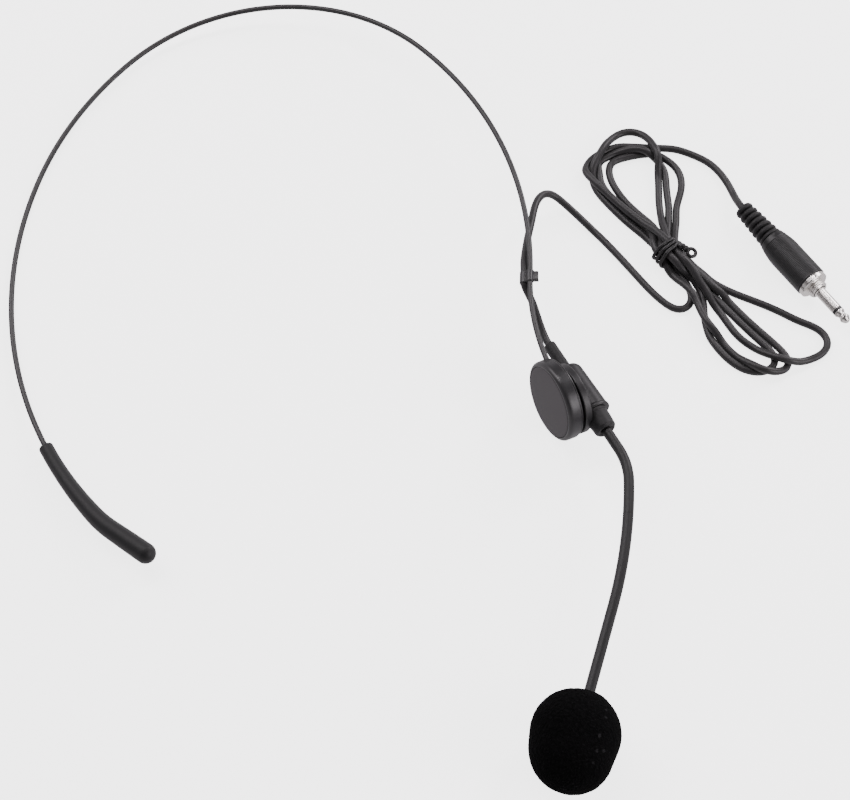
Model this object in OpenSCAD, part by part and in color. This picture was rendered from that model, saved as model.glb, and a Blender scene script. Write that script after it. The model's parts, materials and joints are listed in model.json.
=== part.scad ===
// Wired headset microphone lying on a table: a spring-wire headband with a
// rubber ear tip on one end and a round temple pad on the other, a boom holder
// that swivels on the pad, a gooseneck boom with a foam-covered capsule, and a
// tied-up cable that ends in a screw-lock 3.5 mm plug.
// Millimetres, +Z up off the table. X runs across the band, Y from the foam
// windscreen (-Y) to the crown of the band (+Y).

/* [Headband] */
// Diameter of the spring wire
wire_d = 1.6; // [1.4:0.1:1.7]
// Bend radius of the band over the crown
crown_r = 69; // [66:1:72]
// Bend radius of the band beside the left ear
side_r = 131; // [126:1:136]
// Diameter of the ear tip near its rounded end
tip_d = 6.5; // [5.4:0.1:6.6]
// Diameter of the ear tip at its open end
tip_mouth_d = 4.6; // [4:0.1:5]

/* [Temple pad] */
// Diameter of the pad
pad_d = 25.8; // [25:0.1:27]
// Height of the pad's face above its back plane
pad_t = 4.4; // [4.4:0.1:5]
// Diameter of the soft face insert
face_d = 23.2; // [21:0.1:23.4]

/* [Boom holder] */
// Diameter of the holder's barrel
holder_d = 8.4; // [8:0.1:8.8]
// Length of the holder's barrel
holder_l = 18.8; // [18:0.2:19.6]
// Diameter of the swivel flange
flange_d = 22.4; // [20:0.2:23]

/* [Boom] */
// Diameter of the gooseneck boom
boom_d = 3.2; // [3:0.1:3.4]
// Diameter of the soft core wire inside the boom
core_d = 1.2; // [0.8:0.1:1.4]

/* [Microphone] */
// Diameter of the foam windscreen
foam_d = 26.2; // [24:0.2:27]
// Diameter of the capsule housing
housing_d = 8.8; // [8.6:0.1:9.2]
// Diameter of the electret capsule
capsule_d = 6; // [5.6:0.1:6.2]

/* [Plug] */
// Diameter of the plug's locking sleeve
sleeve_d = 10.5; // [10:0.1:11]
// Diameter of the plug's pin
pin_d = 3.5; // [3.4:0.05:3.6]
// Number of ribs on the plug's boot
boot_ribs = 6; // [4:1:7]

/* [Cable] */
// Diameter of the cable
cable_d = 2.3; // [2:0.1:2.4]

/* [Hidden] */
$fn = 64;

wire_r = wire_d / 2;
boom_r = boom_d / 2;
cable_r = cable_d / 2;
pad_r = pad_d / 2;
pin_r = pin_d / 2;

// The pad stands on its edge, its axis leaning a little up and its
// boom direction turned towards +X and -Y.
pad_lean = 8;
pad_pitch = 3.5;
pad_yaw = -62;
pad_c = [75.85, -11.83, pad_r * 0.9903 + 0.07];

// Where the wire runs into the pad, above and beside the pad's axis
socket_v = 6.16;
socket_w = 1.85;
band_twist = 12.69;
band_yaw = 9.7;
band_steps = [[0, 11.5], [-86.3, 20.91], [121.8, 46.6], [crown_r, 90.72], [109, 27.93], [side_r, 44.94]];
wire_in_tip = 7.5;

// Stack along the pad's axis, from the pad's back plane
back_w = -0.3;
boss_w = -1.05;
flange_w = -1.6;
flange_t = 2.2;
holder_w = 6.65;
// The barrel's outside sits this far out from its bore
barrel_out = 0.75;

// Boom path: straight, a tight bend, a long easy one, then straight to the microphone
boom_twist = 12.6;
boom_out = 20.75;
boom_to_mid = [[0, 3], [-23.5, 29.25], [-164, 8]];
boom_to_mic = [[-164, 6.7], [0, 31]];
ball_gap = 0.15;

// The plug lies on its sleeve
plug_c = [136.5, 62.2, sleeve_d / 2 + 0.05];
plug_yaw = -54;

// ---------------------------------------------------------------- placing

function rx(a, p) = [p[0], p[1] * cos(a) - p[2] * sin(a), p[1] * sin(a) + p[2] * cos(a)];
function ry(a, p) = [p[0] * cos(a) + p[2] * sin(a), p[1], p[2] * cos(a) - p[0] * sin(a)];
function rz(a, p) = [p[0] * cos(a) - p[1] * sin(a), p[0] * sin(a) + p[1] * cos(a), p[2]];
function pad_dir(p) = rz(pad_yaw, ry(-pad_pitch, rx(90 - pad_lean, p)));
function pad_pt(p) = pad_c + pad_dir(p);
function band_dir(p) = pad_dir(rx(band_twist - 90, rz(180 - band_yaw, p)));
function band_pt(p) = pad_pt([0, socket_v, socket_w]) + band_dir(p);

// End of a chain of steps as [x, y, heading]
function chain(s, i = 0, x = 0, y = 0, h = 0) =
    i >= len(s) ? [x, y, h] :
    s[i][0] == 0 ? chain(s, i + 1, x + s[i][1] * cos(h), y + s[i][1] * sin(h), h) :
    let(r = s[i][0], d = sign(r), a = s[i][1])
    chain(s, i + 1, x + abs(r) * d * (sin(h + d * a) - sin(h)),
          y - abs(r) * d * (cos(h + d * a) - cos(h)), h + d * a);

module at_pad() { translate(pad_c) rotate([90 - pad_lean, -pad_pitch, pad_yaw]) children(); }
module at_band() { at_pad() translate([0, socket_v, socket_w]) rotate([band_twist - 90, 0, 0]) rotate([0, 0, 180 - band_yaw]) children(); }
module at_barrel() { at_pad() translate([0, 0, -holder_w]) rotate([0, 90, 0]) children(); }
module at_boom() { at_pad() translate([0, 0, -holder_w]) rotate([boom_twist - 90, 0, 0]) translate([boom_out, 0, 0]) children(); }
module at_mic() { at_boom() go(boom_to_mid) go(boom_to_mic) rotate([0, 90, 0]) children(); }
module at_plug() { translate(plug_c) rotate([0, 90, plug_yaw]) children(); }

// Moves to the end of a chain of [radius, angle] bends and [0, length] runs
module go(s, i = 0) {
    if (i >= len(s)) children();
    else if (s[i][0] == 0) translate([s[i][1], 0, 0]) go(s, i + 1) children();
    else translate([abs(s[i][0]) * sin(s[i][1]), s[i][0] * (1 - cos(s[i][1])), 0])
        rotate([0, 0, sign(s[i][0]) * s[i][1]]) go(s, i + 1) children();
}

// A round rod along such a chain: every second step is a hair thinner and
// reaches into its neighbours
module run(s, r, i = 0) {
    if (i < len(s)) {
        thin = i % 2 == 1;
        rr = thin ? r : r + 0.02;
        e0 = thin ? 0.5 : 0;
        e1 = thin && i < len(s) - 1 ? 0.5 : 0;
        if (s[i][0] == 0) translate([-e0, 0, 0]) rotate([0, 90, 0]) cylinder(r = rr, h = s[i][1] + e0 + e1);
        else {
            k = 180 / PI / abs(s[i][0]);
            translate([0, s[i][0], 0]) rotate([0, 0, s[i][0] > 0 ? -90 - e0 * k : 90 - s[i][1] - e1 * k])
                rotate_extrude(angle = s[i][1] + (e0 + e1) * k, $fn = 240) translate([abs(s[i][0]), 0]) circle(r = rr, $fn = 32);
        }
        if (i < len(s) - 1) go([s[i]]) run(s, r, i + 1);
    }
}

// A ring between two radii and two heights
module ring(ro, ri, z0, z1) {
    difference() {
        translate([0, 0, z0]) cylinder(r = ro, h = z1 - z0);
        translate([0, 0, z0 - 1]) cylinder(r = ri, h = z1 - z0 + 2);
    }
}

// Two circles and the straight sides that touch both
module link(c1, r1, c2, r2) {
    d = c2 - c1;
    a = atan2(d[1], d[0]);
    b = acos((r1 - r2) / norm(d));
    translate(c1) circle(r = r1);
    translate(c2) circle(r = r2);
    polygon([c1 + r1 * [cos(a + b), sin(a + b)], c1 + r1 * [cos(a - b), sin(a - b)],
             c2 + r2 * [cos(a - b), sin(a - b)], c2 + r2 * [cos(a + b), sin(a + b)]]);
}

// ------------------------------------------------------------ swept tubes

function unit(v) = v / norm(v);
function crom(a, b, c, d, t) = 0.5 * (2 * b + (c - a) * t + (2 * a - 5 * b + 4 * c - d) * t * t + (3 * b - a - 3 * c + d) * t * t * t);
function fine(p, k) = let(n = len(p)) concat([for (i = [0:n - 2], j = [0:k - 1])
    crom(p[max(i - 1, 0)], p[i], p[i + 1], p[min(i + 2, n - 1)], j / k)], [p[n - 1]]);
function ring_at(p, i, r, n) = let(m = len(p),
    t = unit(p[min(i + 1, m - 1)] - p[max(i - 1, 0)]), s = unit(cross(t, [0, 0, 1])), u = cross(s, t))
    [for (k = [0:n - 1]) p[i] + r * (cos(360 * k / n) * s + sin(360 * k / n) * u)];

module tube(p, r, n = 8) {
    m = len(p);
    polyhedron(
        points = [for (i = [0:m - 1]) each ring_at(p, i, r, n)],
        faces = concat([[for (k = [0:n - 1]) k]], [[for (k = [n - 1:-1:0]) (m - 1) * n + k]],
            [for (i = [0:m - 2], k = [0:n - 1]) each [
                [i * n + k, (i + 1) * n + k, i * n + (k + 1) % n],
                [i * n + (k + 1) % n, (i + 1) * n + k, (i + 1) * n + (k + 1) % n]]]));
}

// ----------------------------------------------------------------- routes

clip_steps = [[0, 11.5], [-86.3, 20.25]];
clip_gap = 2.35;
clip_l = 4.4;
clip_at = chain(clip_steps);
clip_c = band_pt([clip_at[0] - clip_gap * sin(clip_at[2]), clip_at[1] + clip_gap * cos(clip_at[2]), 0]);
clip_t = band_dir([cos(clip_at[2]), sin(clip_at[2]), 0]);
relief_end = pad_pt([-19.2, 0, -holder_w]);
relief_t = pad_dir([-1, 0, 0]);

jumper_route = concat([relief_end, relief_end + 1.5 * relief_t],
    [[71, 11.9, 11], [70.1, 14, 11.5], [69.4, 16.1, 12.2], [68.6, 18.1, 12.9], [67.1, 21.9, 14.5], [65.9, 24, 15.5], [65.1, 25.8, 16.5]],
    [clip_c - 1.9 * clip_t, clip_c]);
lead_route = concat([clip_c, clip_c + 2.6 * clip_t],
    [[65, 36.3, 16.7], [66.4, 44.6, 14.2], [68, 52.7, 12.7], [69.7, 61.1, 11], [73.3, 66.4, 8.2],
     [77.6, 65.6, 5.2], [82.5, 61.8, 3], [90.4, 53.8, 1.4], [99.7, 42.8, 1.25], [108.2, 32, 1.25],
     [113.5, 27.6, 1.25], [117.3, 29.2, 1.3], [118, 31.3, 1.6]]);
tail_route = concat([[113.6, 86.6, 4.4], [117.8, 85.9, 3.8], [122.4, 84.4, 2.6], [126.4, 82, 1.6],
    [130, 77.2, 1.6], [132.6, 71.2, 2.8], [135, 65, 4.7]],
    [for (d = [0, 8, 15]) plug_c + d * [cos(plug_yaw), sin(plug_yaw), 0]]);

tie_c = [113, 45.3];
hank_h = 5.4;

// --------------------------------------------------------------- headband

module headband_wire() {
    color([0.07, 0.07, 0.075]) at_band() {
        translate([4, 0, 0]) run(concat([[0, band_steps[0][1] - 4]], [for (i = [1:4]) band_steps[i]],
            [[side_r, band_steps[5][1] + wire_in_tip]]), wire_r);
    }
}

// Axis of the ear tip from its open end: it follows the wire, bends inwards and runs out straight
tip_a1 = 12.9;
tip_r2 = 39.5;
tip_a2 = 11.5;
tip_l1 = side_r * tip_a1 * PI / 180;
tip_l2 = tip_l1 + tip_r2 * tip_a2 * PI / 180;
tip_l = tip_l2 + 17;
function tip_axis(s) = s < tip_l1
    ? let(a = s * 180 / PI / side_r) [side_r * sin(a), side_r * (1 - cos(a)), a]
    : let(a = tip_a1, b = a + min(s - tip_l1, tip_l2 - tip_l1) * 180 / PI / tip_r2, e = max(0, s - tip_l2))
      [side_r * sin(a) + tip_r2 * (sin(b) - sin(a)) + e * cos(b), side_r * (1 - cos(a)) + tip_r2 * (cos(a) - cos(b)) + e * sin(b), b];
function tip_rad(s) = let(e = tip_d / 2, m = tip_mouth_d / 2, t = s / tip_l,
    r = m + (e - m) * (t * t * (3 - 2 * t)), d = s - (tip_l - e))
    d <= 0 ? r : r * sqrt(max(0.02, 1 - d * d / (e * e)));

module ear_tip() {
    n = 24;
    ss = concat([for (i = [0:11]) i * (tip_l - tip_d / 2) / 11],
                [for (a = [20:17:88]) tip_l - tip_d / 2 + tip_d / 2 * sin(a)]);
    m = len(ss);
    pts = [for (s = ss) let(c = tip_axis(s), r = tip_rad(s)) each
        [for (k = [0:n - 1]) [c[0] - r * cos(360 * k / n) * sin(c[2]), c[1] + r * cos(360 * k / n) * cos(c[2]), r * sin(360 * k / n)]]];
    color([0.08, 0.08, 0.085]) at_band() go(band_steps) difference() {
        polyhedron(points = pts,
            faces = concat([[for (k = [0:n - 1]) k]], [[for (k = [n - 1:-1:0]) (m - 1) * n + k]],
                [for (i = [0:m - 2], k = [0:n - 1]) each [
                    [i * n + k, (i + 1) * n + k, i * n + (k + 1) % n],
                    [i * n + (k + 1) % n, (i + 1) * n + k, (i + 1) * n + (k + 1) % n]]]));
        run([[side_r, wire_in_tip + 0.3]], wire_r + 0.03);
        translate([-0.5, 0, 0]) rotate([0, 90, 0]) cylinder(r = wire_r + 0.6, h = 3);
    }
}

// Moulded clip on the wire, with a round eye for the cable and a pull tab
module cable_clip() {
    color([0.06, 0.06, 0.065]) at_band() go(clip_steps) rotate([90, 0, 90]) translate([0, 0, -clip_l / 2]) difference() {
        union() {
            linear_extrude(clip_l) link([0, 0], wire_r + 0.55, [clip_gap, 0], cable_r + 0.4);
            translate([-2.9, -0.6, 0.5]) cube([2.2, 1.2, 3.2]);
        }
        translate([0, 0, -1]) cylinder(r = wire_r + 0.06, h = clip_l + 2);
        translate([clip_gap, 0, -1]) cylinder(r = cable_r + 0.05, h = clip_l + 2);
    }
}

// ------------------------------------------------------------- temple pad

edge_r = 1.3;
module pad_shell() {
    color([0.1, 0.1, 0.105]) difference() {
        at_pad() union() {
            rotate_extrude() polygon(concat(
                [[1.56, boss_w], [5, boss_w], [5, back_w], [pad_r - 0.3, back_w], [pad_r, back_w + 0.3]],
                [for (a = [0:15:90]) [pad_r - edge_r + edge_r * cos(a), pad_t - 0.1 - edge_r + edge_r * sin(a)]],
                [[face_d / 2 + 0.05, pad_t - 0.1], [face_d / 2 + 0.05, pad_t - 1.2], [3.4, pad_t - 1.2], [3.4, 1.15], [1.56, 1.15]]));
            intersection() {
                translate([0, 0, boss_w + 0.05]) cylinder(r = pad_r - 0.4, h = 2);
                translate([-13, socket_v - 1, -2]) cube([6, 3, 3]);
            }
        }
        at_band() translate([3.6, 0, 0]) rotate([0, 90, 0]) cylinder(r = wire_r + 0.05, h = 10);
    }
}

module pad_face() {
    color([0.33, 0.32, 0.33]) at_pad() ring(face_d / 2, 0, pad_t - 1.2, pad_t);
}

module friction_washer() {
    color([0.85, 0.84, 0.8]) at_pad() ring(4.6, 1.62, flange_w + 0.05, boss_w);
}

// ------------------------------------------------------------ boom holder

module pivot_screw() {
    color([0.75, 0.75, 0.77]) at_pad() difference() {
        union() {
            translate([0, 0, -3.9]) cylinder(r = 1.5, h = 6);
            translate([0, 0, 1.75]) cylinder(r = 3, h = 1.2);
        }
        for (a = [0, 90]) rotate([0, 0, a]) translate([-1.6, -0.25, 2.35]) cube([3.2, 0.5, 1]);
    }
}

module spring_washer() {
    color([0.7, 0.7, 0.72]) at_pad() ring(2.9, 1.6, 1.25, 1.7);
}

module holder_body() {
    r = holder_d / 2;
    l = holder_l / 2;
    color([0.09, 0.09, 0.095]) difference() {
        union() {
            at_pad() translate([1.5, 0, flange_w - flange_t]) {
                translate([0, 0, 0.3]) cylinder(r = flange_d / 2, h = flange_t - 0.6);
                cylinder(r1 = flange_d / 2 - 0.3, r2 = flange_d / 2, h = 0.3);
                translate([0, 0, flange_t - 0.3]) cylinder(r1 = flange_d / 2, r2 = flange_d / 2 - 0.3, h = 0.3);
            }
            at_barrel() {
                translate([barrel_out, 0, 0]) rotate_extrude() polygon(concat([[0, -l], [r - 3, -l]],
                    [for (a = [15:15:90]) [r - 3 + 3 * sin(a), -l + 3 - 3 * cos(a)]],
                    [[r, l - 0.3], [r - 0.3, l], [0, l]]));
                translate([-holder_w - flange_w + 0.2, -r + 1, -l + 4]) cube([holder_w + flange_w - 0.4, 2 * r - 2, holder_l - 6]);
            }
        }
        at_pad() translate([0, 0, -3.95]) cylinder(r = 1.5, h = 4);
        at_barrel() translate([0, 0, l + 0.01]) cylinder(r = 4, h = 5);
        at_barrel() translate([0, 0, -l + 3]) cylinder(r = 2.3, h = holder_l);
        at_barrel() translate([0, 0, -l - 1]) cylinder(r = 1.68, h = 5);
    }
}

module boom_collar() {
    l = holder_l / 2;
    color([0.08, 0.08, 0.085]) at_barrel() rotate_extrude() polygon([[boom_r + 0.03, l - 4], [2.28, l - 4], [2.28, l],
        [3.75, l + 0.02], [3.85, l + 0.3], [3.7, l + 3], [3.3, l + 6.6], [2.8, l + 7.1], [boom_r + 0.03, l + 7.1]]);
}

module boom_ferrule() {
    color([0.72, 0.6, 0.32]) at_barrel() ring(2.28, boom_r + 0.03, 3.1, 5.2);
}

module strain_relief() {
    color([0.07, 0.07, 0.075]) at_barrel() difference() {
        union() {
            translate([0, 0, -19.15]) cylinder(r1 = 1.5, r2 = 1.65, h = 0.25);
            translate([0, 0, -18.9]) cylinder(r = 1.65, h = 18.9 - holder_l / 2 + 4.4);
            translate([0, 0, -holder_l / 2 + 3.05]) cylinder(r = 2.2, h = 1.4);
        }
        translate([0, 0, -20]) cylinder(r = cable_r + 0.03, h = 20);
    }
}

module cable_end() {
    color([0.09, 0.09, 0.09]) at_barrel() translate([0, 0, -19.1]) cylinder(r = cable_r, h = 14.15);
}

module lead_splice() {
    color([0.05, 0.05, 0.05]) at_barrel() translate([0, 0, -4.9]) cylinder(r = 1.4, h = 7.7);
}

// ------------------------------------------------------------------- boom

ball_r = boom_r - 0.05;

module boom_rear() {
    color([0.1, 0.1, 0.1]) difference() {
        at_barrel() {
            translate([0, 0, 2.9]) cylinder(r = boom_r, h = boom_out - 2.9);
            translate([0, 0, boom_out]) sphere(r = ball_r);
        }
        at_barrel() cylinder(r = core_d / 2 + 0.04, h = boom_out - 2.5);
    }
}

module boom_core_rear() {
    color([0.72, 0.45, 0.3]) at_barrel() translate([0, 0, 2.9]) cylinder(r = core_d / 2, h = boom_out - 5.5);
}

module boom_mid() {
    color([0.1, 0.1, 0.1]) at_boom() difference() {
        union() {
            run(boom_to_mid, boom_r);
            go(boom_to_mid) sphere(r = ball_r);
        }
        sphere(r = ball_r + ball_gap);
        translate([2.4, 0, 0]) run([[0, 0.6], boom_to_mid[1], [-164, 7.16]], core_d / 2 + 0.04);
    }
}

module boom_core_mid() {
    color([0.72, 0.45, 0.3]) at_boom() translate([2.5, 0, 0]) run([[0, 0.5], boom_to_mid[1], [-164, 7.1]], core_d / 2);
}

module boom_front() {
    color([0.1, 0.1, 0.1]) at_boom() go(boom_to_mid) difference() {
        run([boom_to_mic[0], [0, boom_to_mic[1][1] + 4.8]], boom_r);
        sphere(r = ball_r + ball_gap);
        go([[-164, 0.84]]) run([[-164, 5.86], [0, boom_to_mic[1][1] + 6]], core_d / 2 + 0.04);
    }
}

module boom_core_front() {
    color([0.72, 0.45, 0.3]) at_boom() go(boom_to_mid) go([[-164, 0.9]]) run([[-164, 5.8], [0, boom_to_mic[1][1] + 4.7]], core_d / 2);
}

// ------------------------------------------------------------- microphone

module capsule_housing() {
    r = housing_d / 2;
    color([0.08, 0.08, 0.085]) at_mic() rotate_extrude() polygon([[boom_r + 0.03, 0], [boom_r + 0.6, 0], [r - 0.4, 3.6], [r, 4.4],
        [r, 14.7], [r - 0.3, 15], [r - 0.7, 15], [r - 0.7, 6.4], [0.9, 6.4], [0.9, 5], [boom_r + 0.03, 5]]);
}

module capsule_gasket() {
    color([0.12, 0.12, 0.12]) at_mic() ring(housing_d / 2 - 0.74, capsule_d / 2 + 0.03, 6.9, 13.4);
}

module mic_capsule() {
    color([0.78, 0.78, 0.8]) at_mic() difference() {
        translate([0, 0, 7.6]) cylinder(r = capsule_d / 2, h = 5.2);
        translate([0, 0, 12.4]) cylinder(r = 1.1, h = 1);
    }
}

module capsule_grille() {
    color([0.2, 0.2, 0.2]) at_mic() difference() {
        translate([0, 0, 13.5]) cylinder(r = housing_d / 2 - 0.74, h = 0.8);
        translate([0, 0, 13]) cylinder(r = 0.5, h = 2);
        for (a = [0:60:300]) rotate([0, 0, a]) translate([2.1, 0, 13]) cylinder(r = 0.5, h = 2);
    }
}

// Egg-shaped foam: two spheres and the cone that touches both
foam_a = 13.2;
foam_off = -0.72;
module foam_windscreen() {
    r = foam_d / 2;
    color([0.02, 0.02, 0.02]) at_mic() difference() {
        translate([0, foam_off, 0]) rotate_extrude() intersection() {
            union() {
                link([0, foam_a - 2.2], r, [0, foam_a + 3], r - 0.8);
            }
            translate([0, -20]) square([40, 80]);
        }
        translate([0, 0, -10]) cylinder(r = housing_d / 2 + 0.1, h = 25.4);
    }
}

// ------------------------------------------------------------------ cable

module cable_jumper() {
    color([0.09, 0.09, 0.09]) tube(fine(jumper_route, 1), cable_r);
}

module cable_lead() {
    color([0.09, 0.09, 0.09]) tube(fine(lead_route, 2), cable_r);
}

module cable_tail() {
    color([0.09, 0.09, 0.09]) tube(fine(tail_route, 2), cable_r);
}

module cable_hank() {
    color([0.11, 0.11, 0.11]) linear_extrude(hank_h) {
        link([101.8, 77], 16.5, tie_c, 3.6);
        link([152, 15.5], 10, tie_c, 3.6);
        link([136, 13.5], 11, tie_c, 3.6);
        link([152, 15.5], 10, [136, 13.5], 11);
    }
}

module cable_tie() {
    color([0.06, 0.06, 0.06]) translate([tie_c[0], tie_c[1], 4.2]) rotate([0, 90, -54]) {
        for (z = [-0.8, 0.8]) translate([0, 0, z]) rotate_extrude() translate([3.6, 0]) circle(r = 0.55);
        translate([-2.4, 2.8, 0]) rotate([-54, 0, 0]) cylinder(r = 0.6, h = 6.5);
        translate([-2.4, 2.8, -1.3]) cylinder(r = 0.6, h = 2.6);
    }
}

// ------------------------------------------------------------------- plug

boot_l = 15;
module plug_boot() {
    p = (boot_l - 2) / boot_ribs;
    color([0.07, 0.07, 0.075]) at_plug() difference() {
        rotate_extrude() polygon(concat([[0, 0], [2.3, 0]],
            [for (i = [0:boot_ribs - 1]) let(z = 0.3 + i * p, r = 2.5 + 1.15 * i / boot_ribs) each
                [[r, z], [r + 0.2, z + 0.2], [r + 0.25, z + p * 0.6], [r - 0.35, z + p * 0.68], [r - 0.35, z + p * 0.94]]],
            [[3.85, boot_l - 1.6], [3.9, boot_l - 0.7], [3.55, boot_l - 0.7], [3.55, boot_l + 3.6], [3.85, boot_l + 3.6], [3.85, boot_l + 4.8], [0, boot_l + 4.8]]));
        translate([0, 0, -1]) cylinder(r = cable_r + 0.04, h = boot_l + 7);
    }
}

module lock_sleeve() {
    r = sleeve_d / 2;
    color([0.06, 0.06, 0.065]) at_plug() rotate_extrude() polygon(concat(
        [[3.7, boot_l - 0.4], [4.1, boot_l - 0.4], [4.3, boot_l], [r - 0.1, boot_l + 7], [r, boot_l + 8]],
        [for (i = [0:8]) let(z = boot_l + 8.6 + i * 1.1) each [[r, z], [r - 0.15, z + 0.15], [r - 0.15, z + 0.4], [r, z + 0.55]]],
        [[r, boot_l + 19.6], [r - 0.3, boot_l + 20], [3.6, boot_l + 20], [3.6, boot_l + 19], [4, boot_l + 18.6], [4, boot_l + 3.3], [3.7, boot_l + 3.3]]));
}

module lock_thread() {
    color([0.8, 0.8, 0.82]) at_plug() rotate_extrude() polygon(concat(
        [[2.3, boot_l + 17.5], [3.55, boot_l + 17.5], [3.55, boot_l + 20.05], [4.8, boot_l + 20.05], [4.95, boot_l + 20.2], [4.95, boot_l + 20.9], [4.7, boot_l + 21.2], [3.2, boot_l + 21.2]],
        [for (i = [0:2]) let(z = boot_l + 21.4 + i * 0.7) each [[2.9, z], [3.2, z + 0.2], [3.2, z + 0.3], [2.9, z + 0.5]]],
        [[2.8, boot_l + 23.6], [2.3, boot_l + 23.6]]));
}

module plug_core() {
    color([0.1, 0.1, 0.11]) at_plug() difference() {
        union() {
            translate([0, 0, boot_l + 7]) cylinder(r = 3.4, h = 10);
            translate([0, 0, boot_l + 17]) cylinder(r = 2.22, h = 6.6);
        }
        translate([0, 0, boot_l + 6]) cylinder(r = 0.62, h = 30);
        translate([0, 0, boot_l + 19.8]) cylinder(r = 1.4, h = 5);
    }
}

pin_z0 = boot_l + 23.6;
sleeve_l = 8.4;
module sleeve_contact() {
    color([0.82, 0.82, 0.84]) at_plug() difference() {
        union() {
            translate([0, 0, pin_z0]) cylinder(r = pin_r, h = sleeve_l);
            translate([0, 0, pin_z0 - 3.7]) cylinder(r = 1.38, h = 3.8);
        }
        translate([0, 0, pin_z0 - 5]) cylinder(r = 0.95, h = 20);
    }
}

module tip_insulator() {
    color([0.04, 0.04, 0.04]) at_plug() difference() {
        union() {
            translate([0, 0, pin_z0 + sleeve_l]) cylinder(r = pin_r, h = 0.9);
            translate([0, 0, pin_z0 - 3.7]) cylinder(r = 0.93, h = 13);
        }
        translate([0, 0, pin_z0 - 5]) cylinder(r = 0.62, h = 20);
    }
}

module tip_contact() {
    color([0.82, 0.82, 0.84]) at_plug() {
        translate([0, 0, boot_l + 5]) cylinder(r = 0.6, h = pin_z0 + sleeve_l + 1 - boot_l - 5);
        translate([0, 0, pin_z0 + sleeve_l + 0.9]) rotate_extrude() polygon([[0, 0], [pin_r, 0], [pin_r, 0.6], [pin_r - 0.55, 1.5],
            [pin_r - 0.55, 1.9], [pin_r - 0.1, 2.8], [pin_r - 0.2, 3.3], [0.9, 4.4], [0.3, 4.7], [0, 4.7]]);
    }
}

module solder_lug() {
    color([0.75, 0.72, 0.6]) at_plug() difference() {
        translate([-2.6, -0.8, boot_l + 4.9]) cube([0.4, 1.6, 2.05]);
        translate([-4, 0, boot_l + 5.7]) rotate([0, 90, 0]) cylinder(r = 0.35, h = 4);
    }
}

// ---------------------------------------------------------------- drawing

headband_wire();
ear_tip();
cable_clip();
pad_shell();
pad_face();
friction_washer();
pivot_screw();
spring_washer();
holder_body();
boom_collar();
boom_ferrule();
strain_relief();
cable_end();
lead_splice();
boom_rear();
boom_core_rear();
boom_mid();
boom_core_mid();
boom_front();
boom_core_front();
capsule_housing();
capsule_gasket();
mic_capsule();
capsule_grille();
foam_windscreen();
cable_jumper();
cable_lead();
cable_hank();
cable_tail();
cable_tie();
plug_boot();
plug_core();
sleeve_contact();
tip_insulator();
tip_contact();
solder_lug();
lock_sleeve();
lock_thread();
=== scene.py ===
import json
import math

import bpy
import numpy as np
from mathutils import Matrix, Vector, noise


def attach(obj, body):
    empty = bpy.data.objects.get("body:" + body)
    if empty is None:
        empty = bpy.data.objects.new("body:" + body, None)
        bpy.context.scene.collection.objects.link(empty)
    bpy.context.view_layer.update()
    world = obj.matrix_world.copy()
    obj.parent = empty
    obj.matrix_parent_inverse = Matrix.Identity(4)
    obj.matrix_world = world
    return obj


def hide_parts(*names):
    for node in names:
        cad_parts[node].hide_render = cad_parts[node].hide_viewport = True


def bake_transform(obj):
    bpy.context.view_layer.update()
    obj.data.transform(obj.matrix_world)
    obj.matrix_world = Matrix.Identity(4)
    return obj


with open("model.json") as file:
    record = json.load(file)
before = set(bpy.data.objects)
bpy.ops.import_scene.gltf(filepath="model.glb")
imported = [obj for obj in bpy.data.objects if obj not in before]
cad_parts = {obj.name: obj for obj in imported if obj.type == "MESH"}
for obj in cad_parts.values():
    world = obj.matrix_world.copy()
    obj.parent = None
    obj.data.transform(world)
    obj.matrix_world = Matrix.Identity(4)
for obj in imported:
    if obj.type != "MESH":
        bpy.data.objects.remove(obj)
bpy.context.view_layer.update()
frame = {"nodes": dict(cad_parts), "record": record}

scene = bpy.context.scene
MM = 0.001
TAU = 2 * math.pi


# ------------------------------------------------------------------ camera

cam_data = bpy.data.cameras.new("camera")
cam_data.lens = 118.588
cam_data.sensor_width = 36
cam_data.sensor_fit = "HORIZONTAL"
cam_data.clip_start = 0.01
cam = bpy.data.objects.new("camera", cam_data)
scene.collection.objects.link(cam)
cam.location = (0.034, -0.4297, 0.7653)
cam.rotation_euler = (Vector((0.034, -0.0055, 0)) - cam.location).to_track_quat("-Z", "Y").to_euler()
scene.camera = cam


# ----------------------------------------------------- frames, in millimetres

def shift(x, y, z):
    m = np.eye(4)
    m[:3, 3] = x, y, z
    return m


def turn(axis, deg):
    i, j = {"x": (1, 2), "y": (2, 0), "z": (0, 1)}[axis]
    c, s = math.cos(math.radians(deg)), math.sin(math.radians(deg))
    m = np.eye(4)
    m[i, i] = m[j, j] = c
    m[i, j], m[j, i] = -s, s
    return m


def put(m, pts):
    pts = np.asarray(pts, float)
    return pts @ m[:3, :3].T + m[:3, 3]


def go(steps):
    """Frame at the end of a chain of [radius, angle] bends and [0, length] runs."""
    m = np.eye(4)
    for r, a in steps:
        if r == 0:
            m = m @ shift(a, 0, 0)
        else:
            t = math.radians(a)
            m = m @ shift(abs(r) * math.sin(t), r * (1 - math.cos(t)), 0) @ turn("z", math.copysign(a, r))
    return m


def walk(steps, ds):
    """Points along such a chain, from its start to its end."""
    pts, m = [], np.eye(4)
    for r, a in steps:
        length = a if r == 0 else abs(r) * math.radians(a)
        n = max(2, int(round(length / ds)))
        for i in range(n):
            pts.append((m @ go([[r, a * i / n]]))[:3, 3])
        m = m @ go([[r, a]])
    pts.append(m[:3, 3])
    return np.array(pts)


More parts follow.
